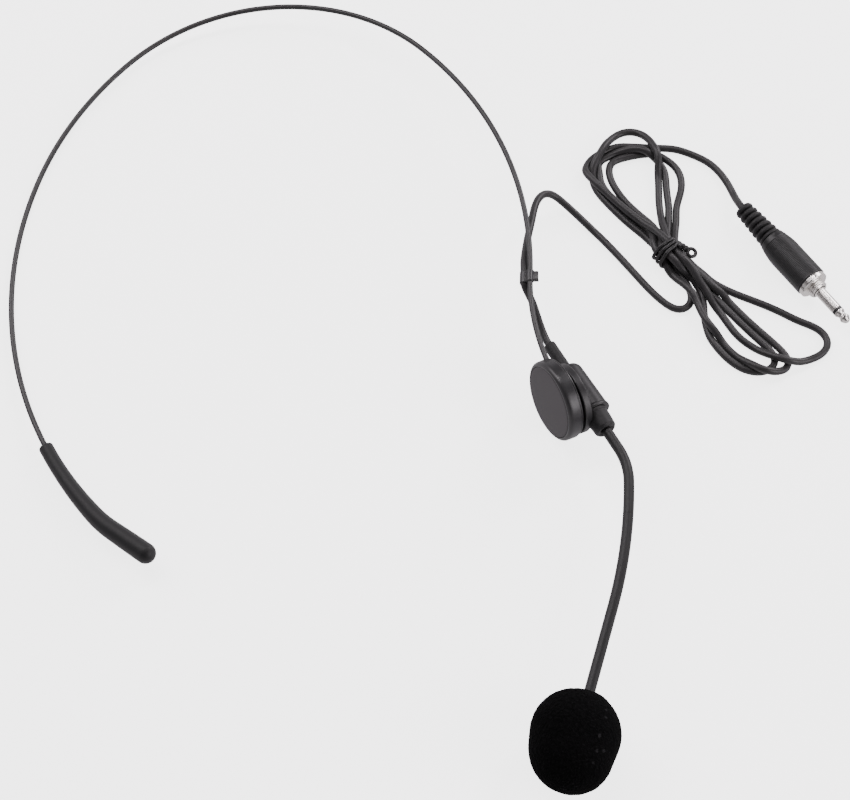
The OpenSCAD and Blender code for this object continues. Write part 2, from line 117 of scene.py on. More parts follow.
PAD_R = 12.9
PAD = shift(75.85, -11.83, PAD_R * 0.9903 + 0.07) @ turn("z", -62) @ turn("y", -3.5) @ turn("x", 82)
BAND_STEPS = [[0, 11.5], [-86.3, 20.91], [121.8, 46.6], [69, 90.72], [109, 27.93], [131, 44.94]]
CLIP_STEPS = [[0, 11.5], [-86.3, 20.25]]
BAND = PAD @ shift(0, 6.16, 1.85) @ turn("x", 12.69 - 90) @ turn("z", 180 - 9.7)
HOLDER_W = 6.65
BARREL = PAD @ shift(0, 0, -HOLDER_W) @ turn("y", 90)
BOOM_TO_MID = [[0, 3], [-23.5, 29.25], [-164, 8]]
BOOM_TO_MIC = [[-164, 6.7], [0, 31]]
BOOM = PAD @ shift(0, 0, -HOLDER_W) @ turn("x", 12.6 - 90) @ shift(20.75, 0, 0)
MID = BOOM @ go(BOOM_TO_MID)
MIC = MID @ go(BOOM_TO_MIC) @ turn("y", 90)
CLIP = BAND @ go(CLIP_STEPS) @ turn("z", 90) @ turn("x", 90)
CLIP_LEAN = CLIP @ turn("z", 30 if CLIP[2, 1] < 0 else -30)
PLUG = shift(136.5, 62.2, 5.3) @ turn("z", -54) @ turn("y", 90)


# --------------------------------------------------------------- mesh tools

def build(name, verts, faces, mat):
    mesh = bpy.data.meshes.new(name)
    mesh.from_pydata([tuple(v) for v in np.asarray(verts, float) * MM], [], faces)
    mesh.validate()
    mesh.polygons.foreach_set("use_smooth", [True] * len(mesh.polygons))
    mesh.materials.append(mat)
    mesh.update()
    obj = bpy.data.objects.new(name, mesh)
    scene.collection.objects.link(obj)
    return obj


def finish_piece(obj, body, slot, *nodes):
    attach(obj, body)
    if nodes:
        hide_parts(*nodes)
    return obj


def soften(pts, bevel=0.25, steps=4):
    """Rounds the corners of an open outline; a point may carry its own radius as a third number."""
    out = []
    n = len(pts)
    for i, p in enumerate(pts):
        p2 = np.array(p[:2], float)
        b = p[2] if len(p) > 2 else bevel
        if i == 0 or i == n - 1 or b <= 0:
            out.append(p2)
            continue
        a, c = np.array(pts[i - 1][:2], float), np.array(pts[i + 1][:2], float)
        u, v = a - p2, c - p2
        lu, lv = np.linalg.norm(u), np.linalg.norm(v)
        if lu < 1e-6 or lv < 1e-6:
            continue
        u, v = u / lu, v / lv
        ang = math.acos(max(-1.0, min(1.0, float(u @ v))))
        if ang > math.pi - 0.05:
            out.append(p2)
            continue
        cut = min(b / math.tan(ang / 2), 0.45 * lu, 0.45 * lv)
        s, e = p2 + cut * u, p2 + cut * v
        for k in range(steps + 1):
            t = k / steps
            out.append((1 - t) ** 2 * s + 2 * t * (1 - t) * p2 + t * t * e)
    return support(out)


def support(pts, near=0.12):
    """Adds points close to the ends of long straight runs so that smooth shading keeps them flat."""
    out = [np.array(pts[0], float)]
    for a, b in zip(pts[:-1], pts[1:]):
        a, b = np.array(a, float), np.array(b, float)
        d = np.linalg.norm(b - a)
        if d < 1e-5:
            continue
        if d > 4 * near:
            out.append(a + (b - a) * near / d)
            if d > 4:
                for k in range(1, int(d / 2)):
                    out.append(a + (b - a) * (near + (d - 2 * near) * k / int(d / 2)) / d)
            out.append(b - (b - a) * near / d)
        out.append(b)
    return [tuple(p) for p in out]


def lathe(profile, m, n=72, closed=False, radius=None, axis=None):
    """Turns an outline of (radius, height) about a frame's Z. radius(r, z, angles) may shape it, axis(z) may bend it."""
    verts, rings = [], []
    ang = np.linspace(0, TAU, n, endpoint=False)
    for r, z in profile:
        f = m if axis is None else m @ axis(z)
        z0 = z if axis is None else 0.0
        if r < 1e-6:
            rings.append([len(verts)])
            verts.extend(put(f, [[0, 0, z0]]))
            continue
        rr = np.full(n, r) if radius is None else radius(r, z, ang)
        rings.append(list(range(len(verts), len(verts) + n)))
        verts.extend(put(f, np.c_[rr * np.cos(ang), rr * np.sin(ang), np.full(n, z0)]))
    faces = []
    pairs = list(zip(rings[:-1], rings[1:]))
    if closed:
        pairs.append((rings[-1], rings[0]))
    for a, b in pairs:
        if len(a) == 1 and len(b) == 1:
            continue
        for k in range(n):
            k2 = (k + 1) % n
            if len(a) == 1:
                faces.append((a[0], b[k2], b[k]))
            elif len(b) == 1:
                faces.append((a[k], a[k2], b[0]))
            else:
                faces.append((a[k], a[k2], b[k2], b[k]))
    return verts, faces


def flip(faces):
    return [tuple(reversed(f)) for f in faces]


def joined(*shells):
    verts, faces = [], []
    for v, f in shells:
        k = len(verts)
        verts.extend(v)
        faces.extend(tuple(i + k for i in q) for q in f)
    return verts, faces


def frames_along(path):
    t = np.gradient(path, axis=0)
    t /= np.linalg.norm(t, axis=1)[:, None]
    up = np.array([0, 0, 1.0]) if abs(t[0][2]) < 0.9 else np.array([1.0, 0, 0])
    u = np.cross(t[0], up)
    u /= np.linalg.norm(u)
    us = [u]
    for i in range(1, len(path)):
        u = us[-1] - t[i] * (us[-1] @ t[i])
        us.append(u / np.linalg.norm(u))
    us = np.array(us)
    return t, us, np.cross(t, us)


def sweep(path, r, sides=16, ends=("round", "round")):
    """A round tube along a path, closed at both ends."""
    path = np.asarray(path, float)
    t, u, w = frames_along(path)
    r = np.broadcast_to(np.asarray(r, float), (len(path),))
    rows = [(path[i], u[i], w[i], r[i]) for i in range(len(path))]

    def cap(i, sign, kind):
        if kind == "round":
            marks = [(math.sin(a), math.cos(a)) for a in (0.4, 0.8, 1.2, 1.45)]
        else:
            marks = [(0.1, 0.98), (0.16, 0.9), (0.16, 0.5)]
        return [(path[i] + sign * t[i] * r[i] * f, u[i], w[i], r[i] * g) for f, g in marks]

    rows = cap(0, -1, ends[0])[::-1] + rows + cap(-1, 1, ends[1])
    a = np.linspace(0, TAU, sides, endpoint=False)
    verts = []
    for c, uu, ww, rr in rows:
        verts.extend(c + rr * (np.cos(a)[:, None] * uu + np.sin(a)[:, None] * ww))
    faces = []
    for i in range(len(rows) - 1):
        for k in range(sides):
            k2 = (k + 1) % sides
            faces.append((i * sides + k, i * sides + k2, (i + 1) * sides + k2, (i + 1) * sides + k))
    first, last = len(verts), len(verts) + 1
    verts.append(rows[0][0])
    verts.append(rows[-1][0])
    top = (len(rows) - 1) * sides
    for k in range(sides):
        k2 = (k + 1) % sides
        faces.append((first, k2, k))
        faces.append((last, top + k, top + k2))
    return verts, faces


def prism(outline, m, levels):
    """Stacks an outline (counter-clockwise) at levels of (height, inset), closed at both ends."""
    o = np.asarray(outline, float)
    d = np.roll(o, -1, 0) - np.roll(o, 1, 0)
    nrm = np.c_[d[:, 1], -d[:, 0]]
    nrm /= np.linalg.norm(nrm, axis=1)[:, None]
    n = len(o)
    verts, faces = [], []
    for z, inset in levels:
        q = o - nrm * inset
        verts.extend(put(m, np.c_[q, np.full(n, z)]))
    for i in range(len(levels) - 1):
        for k in range(n):
            k2 = (k + 1) % n
            faces.append((i * n + k, i * n + k2, (i + 1) * n + k2, (i + 1) * n + k))
    c = o.mean(0)
    lo, hi = len(verts), len(verts) + 1
    verts.extend(put(m, [[c[0], c[1], levels[0][0]], [c[0], c[1], levels[-1][0]]]))
    top = (len(levels) - 1) * n
    for k in range(n):
        k2 = (k + 1) % n
        faces.append((lo, k2, k))
        faces.append((hi, top + k, top + k2))
    return verts, faces


def spline(pts, step):
    p = np.asarray(pts, float)
    p = np.vstack([2 * p[0] - p[1], p, 2 * p[-1] - p[-2]])
    out = []
    for i in range(1, len(p) - 2):
        p0, p1, p2, p3 = p[i - 1:i + 3]
        t1 = np.linalg.norm(p1 - p0) ** 0.5
        t2 = t1 + np.linalg.norm(p2 - p1) ** 0.5
        t3 = t2 + np.linalg.norm(p3 - p2) ** 0.5
        t = np.linspace(t1, t2, 24, endpoint=False)[:, None]
        a1 = (t1 - t) / t1 * p0 + t / t1 * p1
        a2 = (t2 - t) / (t2 - t1) * p1 + (t - t1) / (t2 - t1) * p2
        a3 = (t3 - t) / (t3 - t2) * p2 + (t - t2) / (t3 - t2) * p3
        b1 = (t2 - t) / t2 * a1 + t / t2 * a2
        b2 = (t3 - t) / (t3 - t1) * a2 + (t - t1) / (t3 - t1) * a3
        out.append((t2 - t) / (t2 - t1) * b1 + (t - t1) / (t2 - t1) * b2)
    out.append(p[-2][None])
    return even(np.vstack(out), step)


def even(q, step):
    s = np.r_[0, np.cumsum(np.linalg.norm(np.diff(q, axis=0), axis=1))]
    u = np.linspace(0, s[-1], int(round(s[-1] / step)) + 1)
    return np.array([np.interp(u, s, q[:, k]) for k in range(3)]).T


def relax(p, first, last, times, pull=0.5):
    for _ in range(times):
        lap = (p[:-2] + p[2:]) / 2 - p[1:-1]
        p[first:last] += pull * lap[first - 1:last - 1]
    return p


# ---------------------------------------------------------------- materials

def material(name, dark, light, rough, spread=0.06, blotch=140, grain=2600, bump=0.15, depth=0.00004,
             metallic=0.0, specular=0.5, coat=0.0, coat_rough=0.2, sheen=0.0, edge=None, edge_amount=0.5,
             stretch=None, pores=None):
    """A moulded, turned or coated surface: blotchy colour, fine grain in roughness and bump, lighter edges: worn edges
    on hard parts, painted highlights on the foam's pore tips.
    """
    mat = bpy.data.materials.new(name)
    mat.use_nodes = True
    nt = mat.node_tree
    nt.nodes.clear()
    new, link = nt.nodes.new, nt.links.new
    out = new("ShaderNodeOutputMaterial")
    bsdf = new("ShaderNodeBsdfPrincipled")
    link(bsdf.outputs[0], out.inputs[0])
    coord = new("ShaderNodeTexCoord")
    vec = coord.outputs["Object"]
    if stretch:
        mp = new("ShaderNodeMapping")
        mp.inputs["Scale"].default_value = stretch
        link(vec, mp.inputs["Vector"])
        vec = mp.outputs["Vector"]

    def noise_node(scale, detail, roughness=0.55):
        nd = new("ShaderNodeTexNoise")
        nd.inputs["Scale"].default_value = scale
        nd.inputs["Detail"].default_value = detail
        nd.inputs["Roughness"].default_value = roughness
        link(vec, nd.inputs["Vector"])
        return nd

    cloud = noise_node(blotch, 4)
    fine = noise_node(grain, 3)
    ramp = new("ShaderNodeValToRGB")
    ramp.color_ramp.elements[0].position = 0.32
    ramp.color_ramp.elements[1].position = 0.7
    ramp.color_ramp.elements[0].color = (*dark, 1)
    ramp.color_ramp.elements[1].color = (*light, 1)
    add = new("ShaderNodeMath")
    add.operation = "MULTIPLY_ADD"
    add.inputs[1].default_value = 0.35
    link(fine.outputs["Fac"], add.inputs[0])
    half = new("ShaderNodeMath")
    half.operation = "MULTIPLY"
    half.inputs[1].default_value = 0.65
    link(cloud.outputs["Fac"], half.inputs[0])
    link(half.outputs[0], add.inputs[2])
    link(add.outputs[0], ramp.inputs["Fac"])
    colour = ramp.outputs["Color"]
    # lighter colour where the surface is pointed, broken up by grain: edge wear on hard parts, and on the foam a
    # painted highlight on the pore tips
    if edge:
        geo = new("ShaderNodeNewGeometry")
        wear_and_glint = new("ShaderNodeMapRange")
        wear_and_glint.inputs["From Min"].default_value = 0.51
        wear_and_glint.inputs["From Max"].default_value = 0.6
        wear_and_glint.inputs["To Max"].default_value = edge_amount
        link(geo.outputs["Pointiness"], wear_and_glint.inputs["Value"])
        scuff_and_glint = new("ShaderNodeMath")
        scuff_and_glint.operation = "MULTIPLY"
        link(wear_and_glint.outputs[0], scuff_and_glint.inputs[0])
        link(fine.outputs["Fac"], scuff_and_glint.inputs[1])
        mix = new("ShaderNodeMix")
        mix.data_type = "RGBA"
        link(scuff_and_glint.outputs[0], mix.inputs["Factor"])
        link(colour, mix.inputs["A"])
        mix.inputs["B"].default_value = (*edge, 1)
        colour = mix.outputs["Result"]
    link(colour, bsdf.inputs["Base Color"])
    rr = new("ShaderNodeMapRange")
    rr.inputs["From Min"].default_value = 0.3
    rr.inputs["From Max"].default_value = 0.7
    rr.inputs["To Min"].default_value = max(0.03, rough - spread)
    rr.inputs["To Max"].default_value = min(1.0, rough + spread)
    link(add.outputs[0], rr.inputs["Value"])
    link(rr.outputs[0], bsdf.inputs["Roughness"])
    height = fine.outputs["Fac"]
    if pores:
        vor = new("ShaderNodeTexVoronoi")
        vor.inputs["Scale"].default_value = pores
        link(vec, vor.inputs["Vector"])
        height = vor.outputs["Distance"]
    b = new("ShaderNodeBump")
    b.inputs["Strength"].default_value = bump
    b.inputs["Distance"].default_value = depth
    link(height, b.inputs["Height"])
    link(b.outputs[0], bsdf.inputs["Normal"])
    bsdf.inputs["Metallic"].default_value = metallic
    bsdf.inputs["Specular IOR Level"].default_value = specular
    if coat:
        bsdf.inputs["Coat Weight"].default_value = coat
        bsdf.inputs["Coat Roughness"].default_value = coat_rough
    if sheen:
        bsdf.inputs["Sheen Weight"].default_value = sheen
        bsdf.inputs["Sheen Roughness"].default_value = 0.5
    return mat


M = {
    "wire_black": material("wire_black", (0.0165, 0.0161, 0.0166), (0.031, 0.03, 0.0308), 0.44, grain=3500, bump=0.03, spread=0.03, edge=(0.09, 0.09, 0.09)),
    "soft_black": material("soft_black", (0.0064, 0.0062, 0.0068), (0.012, 0.0116, 0.0124), 0.55, grain=2600, bump=0.12, spread=0.04, specular=0.32, sheen=0.16),
    "pad_black": material("pad_black", (0.016, 0.0156, 0.0168), (0.026, 0.0253, 0.0268), 0.36, grain=2800, bump=0.1, edge=(0.1, 0.1, 0.1)),
    "pad_soft": material("pad_soft", (0.044, 0.0405, 0.043), (0.06, 0.0555, 0.0585), 0.62, blotch=90, grain=3000, bump=0.3, depth=0.00005),
    "holder_black": material("holder_black", (0.011, 0.0107, 0.0116), (0.019, 0.0184, 0.0196), 0.42, grain=2600, bump=0.1, spread=0.04, edge=(0.1, 0.1, 0.1)),
    "washer_white": material("washer_white", (0.66, 0.65, 0.6), (0.78, 0.77, 0.73), 0.45),
    "screw_steel": material("screw_steel", (0.5, 0.5, 0.51), (0.66, 0.66, 0.67), 0.3, metallic=1.0, grain=5000, bump=0.08),
    "bush_brass": material("bush_brass", (0.6, 0.43, 0.18), (0.76, 0.58, 0.3), 0.3, metallic=1.0, grain=5000, bump=0.08),
    "core_copper": material("core_copper", (0.56, 0.26, 0.14), (0.75, 0.4, 0.25), 0.35, metallic=1.0),
    "boom_black": material("boom_black", (0.0058, 0.0055, 0.0058), (0.0112, 0.0108, 0.0112), 0.48, grain=2600, bump=0.06, spread=0.03, specular=0.35, sheen=0.12),
    "cable_black": material("cable_black", (0.0165, 0.0157, 0.0163), (0.029, 0.0276, 0.0286), 0.45, grain=2600, bump=0.03, spread=0.02, specular=0.4, sheen=0.12),
    "tie_black": material("tie_black", (0.0105, 0.0102, 0.0106), (0.0195, 0.0188, 0.0195), 0.42, grain=4000, bump=0.05, spread=0.03),
    # the foam's lighter edge colour paints highlights onto its pore tips
    "foam_black": material("foam_black", (0.0011, 0.0011, 0.00118), (0.0045, 0.0044, 0.0047), 0.95, spread=0.04, blotch=900, grain=3200,
                           bump=0.9, depth=0.00025, specular=0.05, pores=1900, edge=(0.03, 0.029, 0.031), edge_amount=0.9),
    "capsule_metal": material("capsule_metal", (0.6, 0.6, 0.61), (0.74, 0.74, 0.75), 0.28, metallic=1.0, grain=5000, bump=0.06),
    "grille_black": material("grille_black", (0.04, 0.04, 0.04), (0.09, 0.09, 0.09), 0.45, metallic=0.6),
    "plug_black": material("plug_black", (0.0054, 0.0054, 0.0058), (0.0112, 0.011, 0.0114), 0.42, grain=2600, bump=0.05, spread=0.03, edge=(0.12, 0.12, 0.12)),
    "nickel": material("nickel", (0.8, 0.77, 0.735), (0.88, 0.855, 0.82), 0.25, spread=0.03, metallic=1.0, grain=900, bump=0.0),
    "insulator_black": material("insulator_black", (0.012, 0.012, 0.012), (0.025, 0.025, 0.025), 0.4),
    "tinned": material("tinned", (0.6, 0.57, 0.48), (0.75, 0.71, 0.6), 0.32, metallic=1.0),
}

for part in frame["record"]["subparts"]:
    node = frame["nodes"].get(part["node"])
    if node is not None:
        node.data.materials.clear()
        node.data.materials.append(M[part["material_slot"]])


# -------------------------------------------------------------------- cable

CABLE_R = 1.22
BUNDLE = np.array([112.43, 45.63])
ALONG = np.array([0.588, -0.809])
ACROSS = np.array([0.809, 0.588])
ROWS = {"low": 2.32, "mid": 4.32, "top": 6.32}
RELIEF_END = put(BARREL, [[0, 0, -19.15]])[0]
RELIEF_DIR = -BARREL[:3, 2]
CLIP_EYE = put(CLIP_LEAN, [[2.2, 0, 0]])[0]
CLIP_DIR = CLIP[:3, 2]


def in_tie(across, row, down):
    pts = [(*(BUNDLE + across * ACROSS + s * ALONG), ROWS[row]) for s in (-1.6, 1.6)]
    return pts if down else pts[::-1]


def near_tie(s, across, z):
    return [(*(BUNDLE + across * ACROSS + s * ALONG), z)]


UNDER_WIRE = np.array([67.5, 21.9, 14.2])
ease = 14.0 * RELIEF_DIR, 14.0 * np.array([-0.36, 0.84, 0.4])
jumper = [RELIEF_END - 3 * RELIEF_DIR, RELIEF_END - 1.5 * RELIEF_DIR]
for t in np.linspace(0, 1, 8):
    jumper.append((2 * t ** 3 - 3 * t * t + 1) * RELIEF_END + (t ** 3 - 2 * t * t + t) * ease[0]
                  + (3 * t * t - 2 * t ** 3) * UNDER_WIRE + (t ** 3 - t * t) * ease[1])
jumper += [(66.4, 24, 15), (65.5, 25.8, 15.7), CLIP_EYE - 1.9 * CLIP_DIR, CLIP_EYE, CLIP_EYE + 2.6 * CLIP_DIR]
lead = [(65.2, 36.3, 15.7), (65.7, 40, 15.0), (66.4, 44.6, 14.2), (67.2, 48.8, 13.4), (68, 52.7, 12.7), (68.7, 57, 11.9),
        (69.7, 61.1, 11), (71.2, 64.2, 9.8), (73.3, 66.4, 8.2), (75.5, 66.7, 6.6), (77.6, 65.6, 5.2), (80.1, 63.8, 4),
        (82.5, 61.8, 3), (86.3, 58.2, 1.9), (90.4, 53.8, 1.4), (94.94, 48.28, 1.2), (99.3, 42.51, 1.2), (103.81, 36.45, 1.2),
        (107.71, 31.65, 1.2), (110.9, 28.71, 1.2), (113.4, 26.9, 1.2), (116.1, 26.8, 1.2), (118.2, 28.5, 1.2), (118.9, 31.2, 1.3),
        (118.3, 33.7, 1.5)]
loop_1 = [(105.6, 52.99, 2.4), (101.51, 57.49, 1.4), (96.47, 62.91, 1.1), (91.97, 68.71, 1.1), (89.69, 73.15, 1.4), (89.2, 76.2, 2.4),
          (89.5, 79.9, 3.4), (91.3, 84.2, 4.6), (94, 88.5, 4.2), (97.5, 92.6, 3.2), (101.5, 93.4, 3.6), (105.65, 91.65, 4.6),
          (108.5, 86.9, 5.2), (110, 81.7, 5.2), (110.4, 75.3, 5), (110, 69.1, 4.6), (110.1, 62.5, 4.2), (110.9, 57.4, 4.2)]
fold_1 = [(122.9, 36.61, 3.2), (126.45, 32.73, 2.4), (131.67, 27.27, 2.2), (136.97, 21.27, 2.2), (142.71, 15.05, 2.2),
          (146.42, 10.74, 2.2), (148.4, 6.7, 2.4), (147.5, 4.2, 2.6), (143.4, 3.4, 2.6), (139, 4.4, 2.4), (134.96, 6.62, 2.2),
          (130.94, 9.88, 2.2), (127.24, 14.38, 2.6), (124.16, 19.12, 3), (122.2, 22.8, 3.6), (120.7, 26.7, 4), (118.6, 31.7, 4.2),
          (115.6, 35.8, 4.2)]
loop_2 = [(107.3, 54.3, 3.8), (102.5, 58.9, 3.2), (97.7, 64.3, 2.8), (93.2, 70, 2.6), (90.3, 74.7, 2.6), (89.5, 78.2, 2.6),
          (90.4, 81.3, 2.6), (93.3, 84.2, 2.8), (97.3, 86, 3), (102.1, 86.9, 3), (106.4, 86.1, 3), (109.2, 84.2, 2.8),
          (111.3, 80, 2.6), (112.3, 74.7, 2.6), (112.8, 67.7, 2.8), (113.4, 60.2, 3.2)]
fold_2 = [(122.74, 35.58, 2.2), (126.16, 31.62, 1.6), (130.66, 25.92, 1.2), (135.46, 19.92, 1.1), (140.26, 14.42, 1.1),
          (143.4, 10.5, 1.1), (143.8, 6.9, 1.1), (141.5, 4.2, 1.1), (137, 4.3, 1.1), (132.45, 6.07, 1.1), (128.33, 9.73, 1.1),
          (125.35, 14.67, 1.1), (123.49, 19.55, 1.1), (122.44, 23.78, 1.5), (122.6, 27, 2), (122.4, 30.7, 2.8), (121.2, 34.8, 3.6),
          (118.9, 38.5, 4.4)]
loop_3 = [(107.8, 55.91, 2.2), (104.48, 60.16, 1.6), (100.84, 64.78, 1.2), (97.6, 69.7, 1.1), (95, 74.9, 1.1), (94.2, 78.8, 1.1),
          (94.7, 82.3, 1.1), (97, 84.4, 1.1), (101.4, 85.3, 1.1), (106.5, 85.8, 1.1), (110.8, 84.7, 1.1), (114, 82.9, 1.1),
          (116.1, 80.5, 1.1), (117.4, 77, 1.1), (117.4, 72.3, 1.1), (116.1, 67.5, 1.2), (114.9, 62.5, 1.6)]
fold_3 = [(121.9, 39.4, 2.6), (126.33, 35.94, 2), (132.41, 32.59, 1.4), (138.67, 29.9, 1.1), (145.61, 26.49, 1.1),
          (152.64, 22.36, 1.1), (157.37, 20.13, 1.1), (160.11, 17.52, 1.1), (161.1, 14.1, 1.1), (158.8, 10.3, 1.2), (155.1, 8.3, 1.5),
          (151.1, 6.9, 2.2), (146.5, 7.1, 3.6), (141.1, 9.2, 3.8), (136.3, 12.5, 3.2), (132.6, 16.5, 2.6), (129.7, 21.1, 2.6),
          (126.7, 26.4, 3), (123.8, 31.9, 3.8), (120.8, 37.5, 4.6)]
tail = [(109.2, 52.6, 5.2), (104.4, 56.8, 5.2), (98.2, 62.7, 5.2), (93.32, 68.14, 5.2), (89.53, 72.23, 5.2), (87.6, 75.9, 4.8),
        (87.2, 79.5, 4), (88.3, 82.6, 3), (90.8, 85, 2.2), (94.1, 86.3, 2.2), (98.5, 87.3, 2.6), (103.6, 87.8, 2.9),
        (108.3, 87.5, 3), (112.3, 87.2, 3), (115.9, 87.1, 2.8), (122.7, 84.7, 2), (127, 82.4, 1.3), (130.8, 77.7, 1.4),
        (133.4, 71.7, 2.8), (135.35, 65.2, 4.7), (136.5, 62.2, 5.3), (138.8, 59, 5.3), (141.2, 55.7, 5.3)]
route = (jumper + lead
         + in_tie(-1.2, "low", False) + loop_1 + near_tie(-5, 2.5, 4.2)
         + in_tie(0, "mid", True) + fold_1 + near_tie(5.2, -3.7, 4.3)
         + in_tie(-2.4, "mid", False) + loop_2 + near_tie(-5.2, 4.2, 3.0)
         + in_tie(1.2, "low", True) + fold_2
         + in_tie(-1.2, "top", False) + loop_3 + near_tie(-5.6, 5.6, 3.0)
         + in_tie(2.4, "mid", True) + fold_3
         + in_tie(1.2, "top", False) + tail)


def settle(p, hold, d, floor, drift, rounds=300, gap=6):
    """The cord lies down: its strands fall, stiffen, push each other apart and keep roughly to their route.
    A point's hold goes from 0, free, to 1, fixed; drift is how far back a strand slides for each millimetre it falls."""
    p, p0, n, free = p.copy(), p.copy(), len(p), 1 - hold
    for it in range(rounds):
        if it % 8 == 0:
            far = ((p[:, None, :] - p[None, :, :]) ** 2).sum(-1)
            one, two = np.where(np.triu(far < (d + 1.6) ** 2, gap + 1))
        q = p.copy()
        lap = np.zeros_like(q)
        lap[1:-1] = (q[:-2] + q[2:]) / 2 - q[1:-1]
        bend = np.zeros_like(q)
        bend[2:-2] = (lap[1:-3] + lap[3:-1]) / 2 - lap[2:-2]
        q -= 0.45 * bend * free[:, None]
        q[:, 2] -= 0.03 * free * (1 - it / rounds)
        q[:, 0] += 0.03 * (p0[:, 0] - q[:, 0]) * free
        q[:, 1] += 0.03 * (p0[:, 1] + drift * (p0[:, 2] - q[:, 2]) - q[:, 1]) * free
        for _ in range(2):
            v = q[one] - q[two]
            r = np.sqrt((v ** 2).sum(1)) + 1e-9
            near = r < d
            k = np.where(near, (d - r) / r, 0.0)[:, None] * v
            w1, w2 = free[one], free[two]
            ws = np.maximum(w1 + w2, 1e-6)
            move, count = np.zeros_like(q), np.zeros(n)
            np.add.at(move, one, k * (w1 / ws)[:, None])
            np.add.at(move, two, -k * (w2 / ws)[:, None])
            np.add.at(count, one, near * 1.0)
            np.add.at(count, two, near * 1.0)
            q += move / np.sqrt(np.maximum(count, 1))[:, None]
            q[:, 2] = np.where(free > 0, np.maximum(q[:, 2], floor), q[:, 2])
        p = q
    return p


cord_path = spline(route, 1.2)
at_clip = int(np.argmin(np.linalg.norm(cord_path - CLIP_EYE, axis=1)))
cord_path = relax(cord_path, at_clip + 6, 84, 6)
landed = int(np.argmin(np.linalg.norm(cord_path[:200] - np.array([86.3, 58.2, 1.9]), axis=1)))
hold = np.zeros(len(cord_path))
hold[:landed] = 1
hold[landed:landed + 12] = np.linspace(1, 0, 12)
from_tie = (cord_path[:, :2] - BUNDLE) @ ALONG
beside_tie = (cord_path[:, :2] - BUNDLE) @ ACROSS
hold[(np.abs(from_tie) < 1.2) & (np.abs(beside_tie) < 4)] = 0.8
hold[-8:] = 1
lifted = 1.15 * np.clip(1 - (from_tie / 8) ** 2, 0, 1) * (np.abs(beside_tie) < 6)
cord_path = settle(cord_path, hold, 2 * CABLE_R + 0.02, CABLE_R + 0.03 + lifted, 0.554)

# the run from the swivel to the clip is a piece of its own; the cable goes on from inside the clip
clipped = int(np.argmin(np.linalg.norm(cord_path[:60] - CLIP_EYE, axis=1)))
verts, faces = sweep(cord_path[:clipped + 1], CABLE_R, 14, ("flat", "flat"))
swivel_run = build("cable_swivel_run", verts, faces, M["cable_black"])
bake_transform(swivel_run)
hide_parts("cable_jumper")
lead_path = cord_path[clipped:]
verts, faces = sweep(lead_path, CABLE_R, 14, ("flat", "flat"))
cable = build("cable", verts, faces, M["cable_black"])
finish_piece(cable, "headset", "cable_black", "cable_lead", "cable_hank", "cable_tail")


# ---------------------------------------------------------------- cable tie

here = cord_path[(np.abs(from_tie) < 1.6) & (np.abs(beside_tie) < 6)]
strands = np.c_[(here[:, :2] - BUNDLE) @ ACROSS, here[:, 2]]
TIE_R = 0.6
phi = np.linspace(0, TAU, 721)
reach = (strands[:, :1] * np.cos(phi) + strands[:, 1:] * np.sin(phi)).max(0) + CABLE_R + TIE_R + 0.02
slope = np.gradient(reach, phi)
hull = np.c_[reach * np.cos(phi) - slope * np.sin(phi), reach * np.sin(phi) + slope * np.cos(phi)][:-1]
first = int(np.argmax(hull @ np.array([0.75, 0.66])))
hull = np.roll(hull, -first, axis=0)


def tie_frame(s, across, z):
    return np.array([*(BUNDLE + across * ACROSS + s * ALONG), z])


# three turns, which lie close together by the twist and fan out on the other side
wraps = np.vstack([hull, hull, hull, hull[:1]])
turns = np.arange(len(wraps)) / len(hull)
fan = (turns - 1.5) * (1.22 + 0.7 * np.sin(math.pi * turns) ** 2)
wraps = np.array([tie_frame(f - 0.4, a, z) for f, (a, z) in zip(fan, wraps)])[::12]
q0 = tie_frame(1.6, hull[0][0] + 0.6, hull[0][1] + 0.2)
q1 = tie_frame(4.0, hull[0][0] + 1.6, hull[0][1] - 0.6)
lie = (q1 - q0) / np.linalg.norm(q1 - q0)
e1 = np.cross(lie, [0, 0, 1.0])
e1 /= np.linalg.norm(e1)
e2 = np.cross(lie, e1)


def twist(phase):
    t = np.linspace(0, 1, 22)
    a = phase + TAU * 1.0 * t
    return q0 + t[:, None] * (q1 - q0) + 0.62 * (np.cos(a)[:, None] * e1 + np.sin(a)[:, None] * e2)


one_way, back = twist(0.0), twist(math.pi)
al = np.linspace(math.radians(28), math.radians(332), 26)[:, None]
eye = q1 + 1.1 * lie + 1.45 * (-np.cos(al) * lie + np.sin(al) * e1)
tie_path = np.vstack([one_way[::-1], wraps, back, eye])
tie_path = even(tie_path, 0.3)
tie_path = relax(tie_path, 1, len(tie_path) - 1, 6)
verts, faces = sweep(tie_path, TIE_R, 10)
tie = build("cable_tie_wire", verts, faces, M["tie_black"])
finish_piece(tie, "headset", "tie_black", "cable_tie")


# ----------------------------------------------------------------- headband

band_path = put(BAND, walk(BAND_STEPS[:5] + [[131, 44.94 + 7.3]], 1.3))
arc = np.r_[0, np.cumsum(np.linalg.norm(np.diff(band_path, axis=0), axis=1))]
band_path = band_path[arc > 3.5]
verts, faces = sweep(band_path, 0.88, 20)
band = build("headband_spring_wire", verts, faces, M["wire_black"])
finish_piece(band, "headset", "wire_black", "headband_wire")

TIP = BAND @ go(BAND_STEPS)
TIP_L1 = 131 * math.radians(12.9)
TIP_L2 = TIP_L1 + 39.5 * math.radians(11.5)
TIP_L = TIP_L2 + 17


